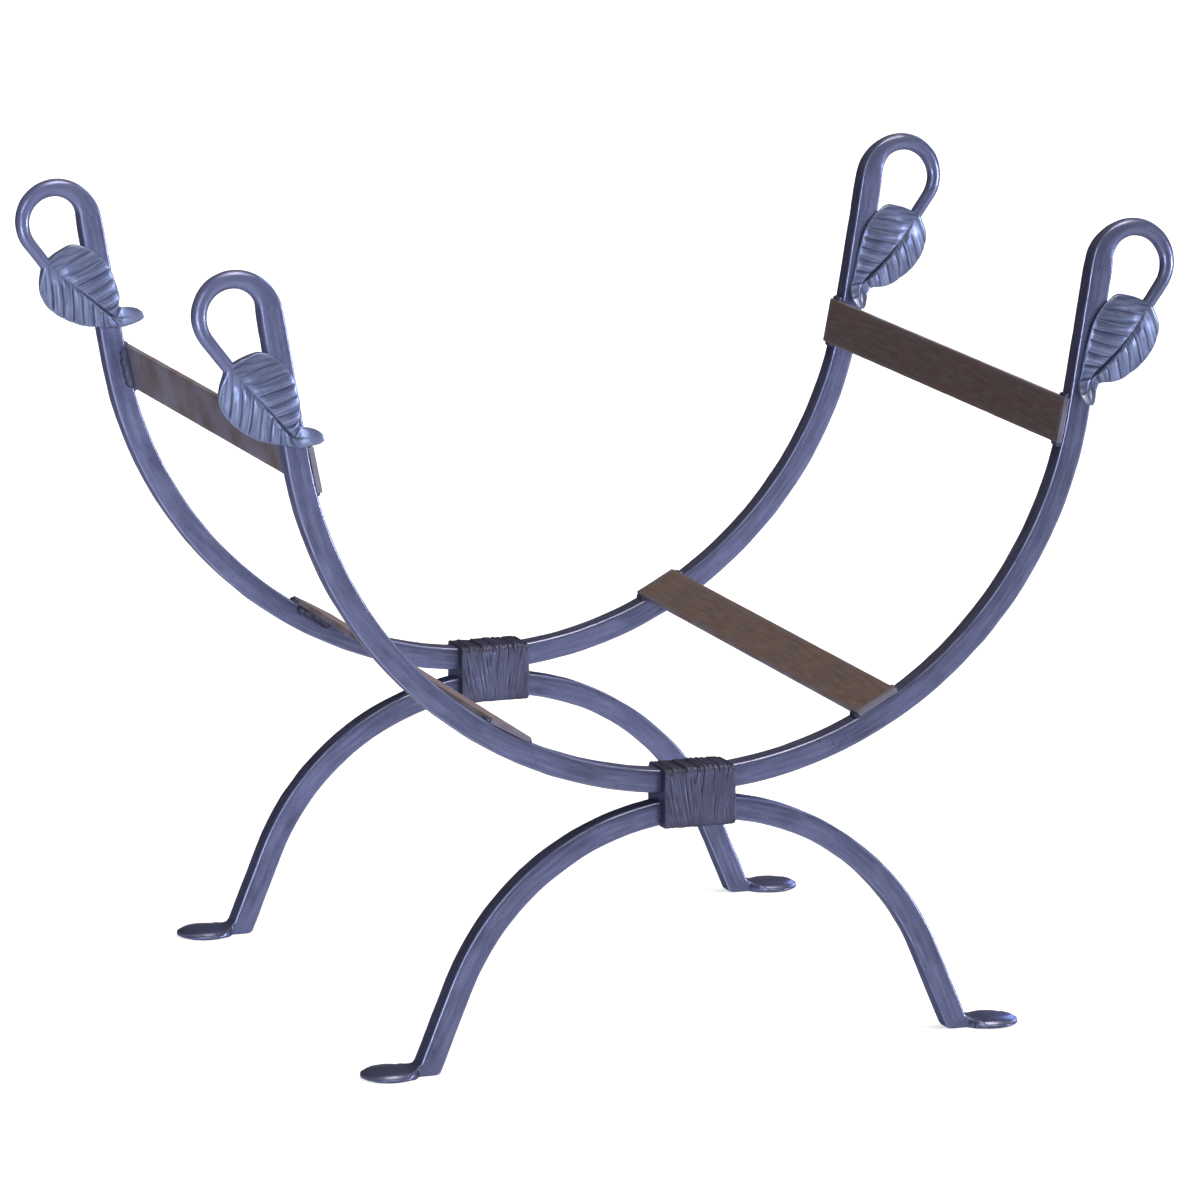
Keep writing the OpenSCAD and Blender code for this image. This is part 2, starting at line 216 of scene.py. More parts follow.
# %% [markdown]
# ## Hammer marks
# Forged bar is never quite flat: each blow leaves a shallow dent, and the corners wander a little. A
# smooth noise that moves every point along its normal gives both. The noise is read at the point's
# own place, so two pieces that meet get the same dents there.

# %% Hammer marks and finished pieces
BROAD_DENT, FINE_DENT = 0.22, 0.09
BROAD_SIZE, FINE_SIZE = 14, 5
FINE_SHIFT = Vector((7, 3, 1))
SHARP_ANGLE = 50


def hammer(bm, broad=BROAD_DENT, fine=FINE_DENT, only=None):
    """Shallow dents, broad and fine ones, as deep as given in millimetres."""
    bm.normal_update()
    moves = []
    for v in bm.verts:
        p = v.co / MM
        dent = broad * noise.noise(p / BROAD_SIZE) + fine * noise.noise(p / FINE_SIZE + FINE_SHIFT)
        moves.append(v.normal * (dent * MM))
    for v, move in zip(bm.verts, moves):
        if only is None or only(v):
            v.co += move


def lay_grain(bm, run):
    """Third number of the grain layer: how far along the bar a point lies, in millimetres."""
    grain = bm.verts.layers.float_vector["grain"]
    for v in bm.verts:
        section = v[grain]
        v[grain] = Vector((section.x, section.y, run(v.co / MM)))


def finish_piece(bm, name, nodes, material, sharp=SHARP_ANGLE):
    """Turns the mesh into a piece that rides on the frame and stands for its nodes."""
    bmesh.ops.recalc_face_normals(bm, faces=bm.faces[:])
    for face in bm.faces:
        face.smooth = True
    mesh = bpy.data.meshes.new(name)
    bm.to_mesh(mesh)
    bm.free()
    mesh.set_sharp_from_angle(angle=math.radians(sharp))
    piece = bpy.data.objects.new(name, mesh)
    bpy.context.scene.collection.objects.link(piece)
    mesh.materials.append(material)
    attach(piece, "root")
    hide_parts(*nodes)
    print(f"{name}: {len(mesh.polygons)} faces")


print(f"dents {BROAD_DENT} mm deep and {BROAD_SIZE} mm across, and {FINE_DENT} by {FINE_SIZE} mm")

# %% [markdown]
# ## What the finish does
# The steel is blue-grey forge scale, rubbed with wax. All the pieces share four effects. There are soft
# clouds where the scale is thicker, and fine streaks along the bar from drawing it out. Corners are
# painted lighter, partly as rubbed wear and partly as a painted highlight along the edge. Grooves are
# painted dark as painted shade, with dark specks of scale. The effects are put in one node group, so
# each material gives only its own colours, and how strong its streaks and how dull its wax is. The group
# puts out a colour, a roughness and a height for the bump.

# %% Node helpers
def add(tree, kind, **values):
    """New node, with its own settings."""
    node = tree.nodes.new(kind)
    for key, value in values.items():
        setattr(node, key, value)
    return node


def noise_at(tree, vector, scale, detail, rough=0.5):
    """Noise from 0 to 1 at a vector."""
    texture = add(tree, "ShaderNodeTexNoise")
    texture.inputs["Scale"].default_value = scale
    texture.inputs["Detail"].default_value = detail
    texture.inputs["Roughness"].default_value = rough
    tree.links.new(vector, texture.inputs["Vector"])
    return texture.outputs["Fac"]


def spread(tree, value, low, high, to_low=0.0, to_high=1.0):
    """Map Range from low..high to to_low..to_high."""
    node = add(tree, "ShaderNodeMapRange")
    for name, number in (("From Min", low), ("From Max", high), ("To Min", to_low), ("To Max", to_high)):
        node.inputs[name].default_value = number
    tree.links.new(value, node.inputs["Value"])
    return node.outputs["Result"]


def maths(tree, operation, a, b):
    """Math node on two values, each a number or another node's output."""
    node = add(tree, "ShaderNodeMath", operation=operation)
    for socket, value in zip(node.inputs, (a, b)):
        if isinstance(value, (int, float)):
            socket.default_value = value
        else:
            tree.links.new(value, socket)
    return node.outputs["Value"]


COLOUR_A, COLOUR_B, COLOUR_OUT = 6, 7, 2


def blend_colours(tree, share, a, b):
    """Mix node: colour a where the share is 0, colour b where it is 1."""
    node = add(tree, "ShaderNodeMix", data_type="RGBA")
    tree.links.new(share, node.inputs["Factor"])
    tree.links.new(a, node.inputs[COLOUR_A])
    tree.links.new(b, node.inputs[COLOUR_B])
    return node.outputs[COLOUR_OUT]


print("node helpers:", ", ".join(f.__name__ for f in (add, noise_at, spread, maths, blend_colours)))


# %% The shared group for forge scale
GROUP_INPUTS = {
    "Vector": ("Place", "Grain"),
    "Float": ("Edge", "Groove", "Streak share", "Dullness"),
    "Color": ("Scale colour", "Thick scale colour", "Rub and sheen colour", "Dark colour"),
}
GROUP_OUTPUTS = {"Color": ("Colour",), "Float": ("Roughness", "Height")}


def forge_scale_group():
    group = bpy.data.node_groups.new("forge_scale", "ShaderNodeTree")
    for way, sockets in (("INPUT", GROUP_INPUTS), ("OUTPUT", GROUP_OUTPUTS)):
        for kind, names in sockets.items():
            for name in names:
                group.interface.new_socket(name, in_out=way, socket_type="NodeSocket" + kind)
    given = add(group, "NodeGroupInput").outputs
    out = add(group, "NodeGroupOutput").inputs

    # Three noises: clouds and specks lie in the piece, streaks follow the bar
    clouds = noise_at(group, given["Place"], scale=45, detail=4.0)
    specks = noise_at(group, given["Place"], scale=420, detail=2.0)
    streaks = noise_at(group, given["Grain"], scale=0.55, detail=3.0, rough=0.6)

    # Colour: scale, thicker in clouds, then corners rubbed and painted with sheen, and streaks, then
    # painted shade in grooves, and specks
    cloudy = spread(group, clouds, 0.42, 0.66)
    streaky = spread(group, streaks, 0.40, 0.68)
    colour = blend_colours(group, cloudy, given["Scale colour"], given["Thick scale colour"])
    # Corners painted lighter: partly rubbed wear, partly a painted highlight along the edge
    rub_and_sheen = maths(group, "MULTIPLY", given["Edge"], spread(group, clouds, 0.35, 0.60, 0.25, 0.85))
    light = maths(group, "MAXIMUM", rub_and_sheen, maths(group, "MULTIPLY", streaky, given["Streak share"]))
    colour = blend_colours(group, light, colour, given["Rub and sheen colour"])
    # Grooves painted dark: painted shade in the creases. The specks are dark scale
    sunk = maths(group, "MAXIMUM", given["Groove"], spread(group, specks, 0.66, 0.80, 0.0, 0.45))
    colour = blend_colours(group, sunk, colour, given["Dark colour"])

    # Roughness: duller in grooves, and by what the material asks for
    rough = spread(group, clouds, 0.35, 0.70, 0.26, 0.37)
    rough = maths(group, "ADD", rough, maths(group, "MULTIPLY", sunk, 0.15))
    rough = maths(group, "ADD", rough, given["Dullness"])

    # Height for the bump: mostly clouds, with faint streaks and specks on them
    cloud_height, streak_height, speck_height = (
        maths(group, "MULTIPLY", noise_value, share)
        for noise_value, share in ((clouds, 0.7), (streaks, 0.22), (specks, 0.10)))
    height = maths(group, "ADD", cloud_height, maths(group, "ADD", streak_height, speck_height))
    for socket, value in (("Colour", colour), ("Roughness", rough), ("Height", height)):
        group.links.new(value, out[socket])
    return group


FORGE_SCALE = forge_scale_group()
print("shared group:", FORGE_SCALE.name, "with", len(FORGE_SCALE.nodes), "nodes")

# %% [markdown]
# ## Four steels
# Bars and crooks have the same blue-grey scale. The leaves are painted a little lighter, with lighter
# streaks along their veins that are a painted sheen. The flat bars were bought rolled and only waxed,
# so they are browner and smoother. The collars were worked longest in the fire and are darker. Scale is
# half metal, half oxide: it reflects the white floor dimly, and keeps some colour of its own, which a
# fully metallic shader would lose in the dark.

# %% Materials
STREAK_STRETCH = 0.08
BUMP_DISTANCE = 0.0006
EDGE_TINT = (0.35, 0.36, 0.42, 1)


def steel(name, scale, thick, rub_and_sheen, dark, bump=0.35, metallic=0.6, streaks=0.24, dullness=0.0):
    """Material with its own colours for scale, thick scale, rubbed places with painted sheen, and
    painted shade in grooves.
    """
    material = bpy.data.materials.new(name)
    material.use_nodes = True
    tree = material.node_tree
    tree.nodes.clear()
    out = add(tree, "ShaderNodeOutputMaterial")
    shader = add(tree, "ShaderNodeBsdfPrincipled")
    finish = add(tree, "ShaderNodeGroup", node_tree=FORGE_SCALE)
    place = add(tree, "ShaderNodeTexCoord")
    grain, edge, groove = (add(tree, "ShaderNodeAttribute", attribute_name=layer)
                           for layer in ("grain", "edge", "groove"))
    stretch = add(tree, "ShaderNodeMapping")
    stretch.inputs["Scale"].default_value = (1.0, 1.0, STREAK_STRETCH)
    raised = add(tree, "ShaderNodeBump")
    raised.inputs["Strength"].default_value = bump
    raised.inputs["Distance"].default_value = BUMP_DISTANCE
    for socket, colour in (("Scale colour", scale), ("Thick scale colour", thick),
                           ("Rub and sheen colour", rub_and_sheen), ("Dark colour", dark)):
        finish.inputs[socket].default_value = (*colour, 1)
    finish.inputs["Streak share"].default_value = streaks
    finish.inputs["Dullness"].default_value = dullness
    for source, target in (
        (place.outputs["Object"], finish.inputs["Place"]),
        (grain.outputs["Vector"], stretch.inputs["Vector"]),
        (stretch.outputs["Vector"], finish.inputs["Grain"]),
        (edge.outputs["Fac"], finish.inputs["Edge"]),
        (groove.outputs["Fac"], finish.inputs["Groove"]),
        (finish.outputs["Colour"], shader.inputs["Base Color"]),
        (finish.outputs["Roughness"], shader.inputs["Roughness"]),
        (finish.outputs["Height"], raised.inputs["Height"]),
        (raised.outputs["Normal"], shader.inputs["Normal"]),
        (shader.outputs["BSDF"], out.inputs["Surface"]),
    ):
        tree.links.new(source, target)
    shader.inputs["Metallic"].default_value = metallic
    shader.inputs["Specular Tint"].default_value = EDGE_TINT
    shader.inputs["Specular IOR Level"].default_value = 0.0
    print("material:", name)
    return material


forged = steel(
    "forged_bar_steel", scale=(0.079, 0.090, 0.188), thick=(0.059, 0.067, 0.132),
    rub_and_sheen=(0.215, 0.245, 0.420), dark=(0.013, 0.013, 0.019))
# Leaf steel: lighter colours and strong streaks along the veins, which are a painted sheen
leaf_sheen_steel = steel(
    "leaf_steel_painted_sheen", scale=(0.086, 0.107, 0.214), thick=(0.058, 0.072, 0.142),
    rub_and_sheen=(0.300, 0.366, 0.572), dark=(0.008, 0.008, 0.016), metallic=0.75, streaks=0.38, dullness=0.11)
rolled = steel(
    "flat_bar_steel", scale=(0.132, 0.100, 0.096), thick=(0.113, 0.088, 0.093),
    rub_and_sheen=(0.225, 0.232, 0.345), dark=(0.030, 0.023, 0.022), bump=0.2, metallic=0.4, dullness=0.12)
collared = steel(
    "dark_collar_steel", scale=(0.062, 0.067, 0.128), thick=(0.044, 0.048, 0.080),
    rub_and_sheen=(0.115, 0.123, 0.215), dark=(0.009, 0.009, 0.012), bump=0.5, dullness=0.16)

# %% [markdown]
# ## Hoops
# A hoop is one bar: down the left arm, round the circle and up the right arm. The path starts at the
# top of the left arm, and the section's first axis points out of the hoop all the way. In the last few
# millimetres of each arm the corners begin to go round, because the crook starts there.

# %% Hoops
ARM_STEPS, HOOP_STEPS = 30, 190
ROUND_AHEAD, ROUND_OVER = 8, 34
lean_cos, lean_sin = direction(ARM_LEAN)
arm_foot = [HOOP_RADIUS * lean_cos, HOOP_Z - HOOP_RADIUS * lean_sin]
arm_top = [arm_foot[0] + ARM_LENGTH * lean_sin, arm_foot[1] + ARM_LENGTH * lean_cos]
half_hoop = math.radians(90 - ARM_LEAN) * HOOP_RADIUS


def hoop_run(p):
    """Distance along the hoop from its lowest point."""
    angle = math.atan2(p.x, HOOP_Z - p.z)
    if abs(math.degrees(angle)) < 90 - ARM_LEAN:
        return angle * HOOP_RADIUS
    beyond = (abs(p.x) - arm_foot[0]) * lean_sin + (p.z - arm_foot[1]) * lean_cos
    return math.copysign(half_hoop + beyond, p.x)


def round_share(travel):
    """How round the bar is, from its distance past the arm's end."""
    return smooth((travel + ROUND_AHEAD) / ROUND_OVER)


def rod_factor(a, b, travel, rod):
    """How far a point of the square section moves towards the round one."""
    return mix(1, rod / math.hypot(a, b), round_share(travel))


def make_hoop(name, node, y):
    bm = bmesh.new()
    face = place_outline(bm, bar_outline(bm), (-arm_top[0], arm_top[1]), 180 + ARM_LEAN, y + HALF)
    face = draw_out(bm, face, (lean_sin, -lean_cos), ARM_LENGTH, ARM_STEPS)
    face = bend(bm, face, (0, HOOP_Z), -(180 - 2 * ARM_LEAN), HOOP_STEPS)
    draw_out(bm, face, (lean_sin, lean_cos), ARM_LENGTH, ARM_STEPS)
    lay_grain(bm, hoop_run)
    grain = bm.verts.layers.float_vector["grain"]
    whole = half_hoop + ARM_LENGTH
    out = direction(-ARM_LEAN)
    for v in bm.verts:
        a, b, run = v[grain]
        if abs(run) > whole - ROUND_AHEAD:
            side = math.copysign(1, run)
            move = rod_factor(a, b, abs(run) - whole, ROD_TOP / 2) - 1
            v.co += Vector((side * a * out[0], b, a * out[1])) * (move * MM)
    hammer(bm)
    finish_piece(bm, name, [node], forged)


make_hoop("front_hoop_bar", "front_hoop", FRONT_Y)
make_hoop("rear_hoop_bar", "rear_hoop", REAR_Y)

# %% [markdown]
# ## Leg arches
# Half an arch is bent from its crown, and mirrored. The leg runs straight to the floor, where the smith
# turned it over the anvil's edge: its back keeps a crisp heel, and its top has a small hollow. The steps
# of the extrusion fan out round the middle of that hollow. The rest of the bar is hammered out into a
# round penny, so each further step gets the width of the disc there. The crown's face is deleted before
# the mirroring, so that no wall is left inside.

# %% Shape of the heel and the foot
HOLLOW = 6.0
CRISPNESS = 16
FOOT_FADE, FOOT_WIDEN = 4.5, 12
DOME, RIM_DROP, RIM_LIFT = 0.5, 1.3, 1.0
leg_out, leg_down = direction(90 - ARCH_ANGLE), direction(-ARCH_ANGLE)
leg_start = Vector((ARCH_RADIUS * leg_out[0], ARCH_Z + ARCH_RADIUS * leg_out[1]))
leg_foot_x = leg_start.x + LEG_LENGTH * leg_down[0]
hollow_z = FOOT_THICK + HOLLOW
hollow_x = leg_foot_x - hollow_z / math.tan(math.radians(ARCH_ANGLE)) + (HALF + HOLLOW) / leg_out[0]
leg_run = (Vector((hollow_x, hollow_z)) - leg_start).dot(Vector(leg_down))
FOOT_X = leg_foot_x + FOOT_REACH


def disc_half(x):
    """Half the width of the penny at a place across, which never quite closes."""
    return math.sqrt(max((FOOT_D / 2) ** 2 - (x - FOOT_X) ** 2, 0.3))


def foot_width(x, z):
    """Half the width of leg and foot at a point seen from the front."""
    if x >= FOOT_X:
        return disc_half(x)
    low = 1 - smooth((z - 0.75 * FOOT_THICK) / FOOT_FADE)
    return mix(HALF, max(HALF * smooth((FOOT_X - x) / FOOT_WIDEN), disc_half(x)), low)


def heel_point(a, b, angle, middle_y):
    """Point of the section on a ray from the hollow's middle, between the hollow and the heel."""
    to_leg = (BAR + HOLLOW) / math.cos(math.radians(angle + 180 - (90 - ARCH_ANGLE)))
    to_floor = hollow_z / max(-math.sin(math.radians(angle)), 0.01)
    outer = (to_leg ** -CRISPNESS + to_floor ** -CRISPNESS) ** (-1 / CRISPNESS)
    reach = mix(outer, HOLLOW, (a + HALF) / BAR)
    x, z = hollow_x + reach * direction(angle)[0], max(hollow_z + reach * direction(angle)[1], 0.0)
    return Vector((x, middle_y + b / HALF * foot_width(x, z), z)) * MM


def penny_point(a, b, x, middle_y):
    """Point of the disc, with a low dome on top and a rounded rim."""
    y = b / HALF * foot_width(x, 0)
    out = min(math.hypot(x - FOOT_X, y) / (FOOT_D / 2), 1.0)
    blend = smooth((x - hollow_x) / 5)
    domed = FOOT_THICK + DOME - 2 * DOME * out ** 2 - RIM_DROP * smooth((out - 0.8) / 0.2)
    top = mix(FOOT_THICK, domed, blend)
    bottom = RIM_LIFT * smooth((out - 0.86) / 0.14) * blend
    return Vector((x, middle_y + y, max(mix(bottom, top, (a + HALF) / BAR), 0.0))) * MM


print(f"leg runs {leg_run:.1f} mm to the heel, foot's middle at x {FOOT_X:.1f} mm")


# %% Leg arches
ARCH_STEPS, LEG_STEPS, HEEL_STEPS, PENNY_STEPS = 56, 15, 18, 30
PENNY_END = 177
SOLE = 1.5


def arch_run(p):
    """Distance along the arch from its crown."""
    return math.atan2(p.x, max(p.z - ARCH_Z, 1)) * ARCH_RADIUS


def next_step(bm, face):
    """Extrudes the end face in place, for a new section."""
    out = bmesh.ops.extrude_face_region(bm, geom=[face])["geom"]
    return next(g for g in out if isinstance(g, bmesh.types.BMFace))


def make_leg_arch(name, node, y):
    bm = bmesh.new()
    crown = place_outline(bm, bar_outline(bm), (0, ARCH_Z + ARCH_RADIUS), 90, y + HALF)
    face = bend(bm, crown, (0, ARCH_Z), ARCH_ANGLE, ARCH_STEPS)
    face = draw_out(bm, face, leg_down, leg_run, LEG_STEPS)
    grain = bm.verts.layers.float_vector["grain"]
    for i in range(1, HEEL_STEPS + 1):
        face = next_step(bm, face)
        angle = -180 + (90 - ARCH_ANGLE) + ARCH_ANGLE * i / HEEL_STEPS
        for v in face.verts:
            v.co = heel_point(v[grain].x, v[grain].y, angle, y + HALF)
    penny_start = math.acos((FOOT_X - hollow_x) / (FOOT_D / 2))
    for i in range(1, PENNY_STEPS + 1):
        x = FOOT_X - FOOT_D / 2 * math.cos(mix(penny_start, math.radians(PENNY_END), i / PENNY_STEPS))
        face = next_step(bm, face)
        for v in face.verts:
            v.co = penny_point(v[grain].x, v[grain].y, x, y + HALF)
    crown_wall = [f for f in bm.faces if abs(f.calc_center_median().x) < 0.01 * MM]
    bmesh.ops.delete(bm, geom=crown_wall, context="FACES_ONLY")
    bmesh.ops.mirror(bm, geom=bm.verts[:] + bm.edges[:] + bm.faces[:], axis="X", merge_dist=0.02 * MM)
    lay_grain(bm, arch_run)
    hammer(bm, only=lambda v: v.co.z > SOLE * MM)
    finish_piece(bm, name, [node], forged)


make_leg_arch("front_leg_arch_bar", "front_leg_arch", FRONT_Y)
make_leg_arch("rear_leg_arch_bar", "rear_leg_arch", REAR_Y)

# %% [markdown]
# ## Crooks
# Where the crook starts, the square bar is set down and becomes a round rod, which gets thinner all
# the way to the leaf. The bend is made one small step at a time, and after each step the end face is
# given its new section, with its corners pulled in a little further. The front left crook is five
# millimetres longer than the others, as hand work is.

# %% Section and path of a crook
STEM_Y = 1.5
FORWARD_FROM, TAIL_DRIFT = 110, 40
first_angle = 180 - ARM_LEAN
last_angle = first_angle - CROOK_TURN
crook_middle = (arm_top[0] + CROOK_RADIUS * lean_cos, arm_top[1] - CROOK_RADIUS * lean_sin)
tip_way = direction(last_angle - 90)
bend_length = math.radians(CROOK_TURN) * CROOK_RADIUS
bend_end = [c + CROOK_RADIUS * d for c, d in zip(crook_middle, direction(last_angle))]


def set_section(face, grain, middle, outward, turn, travel, length, y):
    """Gives the end face the rod's section at that turn and distance, and moves it forward."""
    out = direction(outward)
    rod = mix(ROD_TOP, ROD_END, smooth(travel / length)) / 2
    forward = smooth((turn - FORWARD_FROM) / (CROOK_TURN + TAIL_DRIFT - FORWARD_FROM))
    centre_y = y + mix(HALF, STEM_Y, forward)
    for v in face.verts:
        a, b = v[grain].x, v[grain].y
        k = rod_factor(a, b, travel, rod)
        v.co = Vector((middle[0] + k * a * out[0], centre_y + k * b, middle[1] + k * a * out[1])) * MM


print(f"a crook's bend is {bend_length:.1f} mm long, round a circle {2 * CROOK_RADIUS:.1f} mm across")


# %% Crooks
CROOK_STEPS, TAIL_STEPS = 70, 10
STEM_SINK = 1.5
ROD_RUB = 0.25
FRONT_LEFT_DROP = 5.0


def crook_run(p):
    """Distance round the crook's circle from its rightmost point."""
    return math.atan2(p.z - crook_middle[1], p.x - crook_middle[0]) * CROOK_RADIUS


def make_crook(name, node, y, left, tail):
    bm = bmesh.new()
    face = place_outline(bm, bar_outline(bm), arm_top, first_angle, y + HALF)
    grain = bm.verts.layers.float_vector["grain"]
    length = bend_length + tail
    set_section(face, grain, arm_top, first_angle, 0, 0, length, y)
    for i in range(1, CROOK_STEPS + 1):
        turn = CROOK_TURN * i / CROOK_STEPS
        middle = [c + CROOK_RADIUS * d for c, d in zip(crook_middle, direction(first_angle - turn))]
        face = bend(bm, face, crook_middle, CROOK_TURN / CROOK_STEPS, 1)
        travel = bend_length * i / CROOK_STEPS
        set_section(face, grain, middle, first_angle - turn, turn, travel, length, y)
    for i in range(1, TAIL_STEPS + 1):
        run = (tail + STEM_SINK) * i / TAIL_STEPS
        middle = [c + run * d for c, d in zip(bend_end, tip_way)]
        face = draw_out(bm, face, tip_way, tail / TAIL_STEPS, 1)
        turn = CROOK_TURN + TAIL_DRIFT * i / TAIL_STEPS
        set_section(face, grain, middle, last_angle, turn, bend_length + run, length, y)
    lay_grain(bm, crook_run)
    edge = bm.verts.layers.float["edge"]
    for v in bm.verts:
        turn = first_angle - math.degrees(crook_run(v.co / MM) / CROOK_RADIUS)
        v[edge] = mix(v[edge], ROD_RUB, round_share(math.radians(turn % 360) * CROOK_RADIUS))
    if left:
        bmesh.ops.scale(bm, vec=(-1, 1, 1), verts=bm.verts[:])
    hammer(bm, broad=0.2, fine=0.1)
    finish_piece(bm, name, [node], forged)


for hoop, y in (("front", FRONT_Y), ("rear", REAR_Y)):
    for hand in ("left", "right"):
        drop = FRONT_LEFT_DROP if (hoop, hand) == ("front", "left") else 0
        node = f"{hoop}_{hand}_crook"
        make_crook(f"{node}_rod", node, y, hand == "left", CROOK_TAIL + drop)

# %% [markdown]
# ## Leaves
# A leaf is the rod's end, hammered flat. It starts as a plain grid, one row for each step from stem to
# tip. Each row is given the leaf's width and height there: two pillows with a valley between them, a
# stem that is still round, and a tail that turns aside and curls forward. Extruding the whole grid
# gives the back. The veins are pressed in with a blunt chisel, so they are real grooves in the mesh,
# and a layer marks them, so that the finish paints painted shade into them. The tail and the lip beside
# the midrib are painted lighter, as painted highlights.

# %% Outline and path of a leaf
LEAF_LENGTH = 66.0
LEAF_WIDTH = 41.3
LEAF_THICK = 2.3
LEAF_CURL = 12.5
STEM_SHARE = ROD_END / 2 / LEAF_WIDTH
OUTER_EDGE = ((0, STEM_SHARE), (0.06, 0.25), (0.14, 0.37), (0.25, 0.445), (0.38, 0.453), (0.52, 0.405),
              (0.60, 0.355), (0.68, 0.27), (0.75, 0.18), (0.80, 0.135), (0.86, 0.125), (0.92, 0.11),
              (0.97, 0.08), (1, 0.04))
INNER_EDGE = ((0, STEM_SHARE), (0.02, 0.22), (0.08, 0.425), (0.19, 0.52), (0.31, 0.547), (0.45, 0.51),
              (0.58, 0.405), (0.68, 0.305), (0.75, 0.215), (0.81, 0.16), (0.86, 0.15), (0.92, 0.135),
              (0.97, 0.10), (1, 0.05))
NECK_END, CREST, TAIL_ROOT = 0.2, 0.43, 0.79
TURN_FROM, TURN_TO = 0.69, 0.90
FLAT_FROM, FLAT_TO = 0.5, 0.72


def along_edge(knots, u):
    """Smooth curve through the knots of an outline."""
    i = max(k for k in range(len(knots) - 1) if knots[k][0] <= u)
    (u0, w0), (u1, w1) = knots[i], knots[i + 1]
    before, after = knots[max(i - 1, 0)], knots[min(i + 2, len(knots) - 1)]
    slope0 = (w1 - before[1]) / (u1 - before[0])
    slope1 = (after[1] - w0) / (after[0] - u0)
    t, gap = (u - u0) / (u1 - u0), u1 - u0
    return ((2 * t ** 3 - 3 * t ** 2 + 1) * w0 + (t ** 3 - 2 * t ** 2 + t) * gap * slope0
            + (3 * t ** 2 - 2 * t ** 3) * w1 + (t ** 3 - t ** 2) * gap * slope1)


def rib_path(bow, tail_turn, rows):
    """Place and heading of the midrib at each row, in the leaf's own plane."""
    place, path = Vector((0, 0)), []
    for i in range(rows + 1):
        u = i / rows
        tail = smooth((u - TURN_FROM) / (TURN_TO - TURN_FROM))
        turn = math.radians(mix(bow * smooth(u / TURN_FROM), tail_turn, tail))
        path.append((place.copy(), turn))
        place = place + LEAF_LENGTH / rows * Vector((math.cos(turn), -math.sin(turn)))
    return path


leaf_across = LEAF_WIDTH * (max(w for _, w in OUTER_EDGE) + max(w for _, w in INNER_EDGE))
print(f"a leaf is {LEAF_LENGTH:.0f} mm long along its midrib and {leaf_across:.1f} mm across")


# %% Height, thickness and veins of a leaf
INNER_SLOPE, OUTER_FALL = 0.05, 18
RIDGE_LOW = LEAF_THICK + 0.18 * LEAF_WIDTH * INNER_SLOPE
RIDGE_HIGH = LEAF_THICK + 2.7
VEIN_GAP = 7.7
RIB_DEPTH, VEIN_DEPTH, BAND, LIP = 0.3, 0.25, 0.36, 0.5
RIB_HALF, LIP_PLACE, LIP_HALF = 0.5, 1.5, 1.0
TAIL_FROM, TAIL_EXTRA = 0.80, 1.6
INNER_PUFF = (1.2, 0.85)


def ridge(u):
    """Height of the midrib in front of the arm's face, from stem to tip."""
    if u < CREST:
        return mix(ROD_END / 2 - STEM_Y, RIDGE_HIGH, smooth(u / CREST))
    if u < TAIL_ROOT:
        return mix(RIDGE_HIGH, RIDGE_LOW, smooth((u - CREST) / (TAIL_ROOT - CREST)))
    return mix(RIDGE_LOW, LEAF_CURL, ((u - TAIL_ROOT) / (1 - TAIL_ROOT)) ** 2)


def lean_at(s, leans):
    """Angle between midrib and side veins, on the inner half where s is negative, else the outer."""
    return math.radians(leans[0] if s < 0 else leans[1])


def vein_share(u, w, s, leans, reach_end):
    """Shares of full depth of the midrib's groove and the side veins, and of the swelling between."""
    lean = lean_at(s, leans)
    rib = smooth((u - 0.22) / 0.2) * (1 - smooth((u - 0.84) / 0.08)) * math.exp(-(w / RIB_HALF) ** 2)
    start = u * LEAF_LENGTH - abs(w) / math.tan(lean) + (2.0 if s < 0 else 4.6)
    wander = 0.5 * noise.noise(Vector((start / 9, w / 8, 4.0 if s < 0 else 9.0)))
    off = (start + wander) / VEIN_GAP
    off -= round(off)
    clear = 1.0 + 4.0 * (1 - smooth(u / 0.5))
    reach = smooth((abs(w) - 0.3 * clear) / clear) * (1 - smooth((abs(s) - 0.88) / 0.12))
    share = reach * smooth((u - 0.10) / 0.08) * (1 - smooth((u - reach_end) / 0.05))
    side = math.exp(-(off * VEIN_GAP * math.sin(lean) / RIB_HALF) ** 2)
    return rib, share * side, share * (1 - (1 - 2 * abs(off)) ** 2)


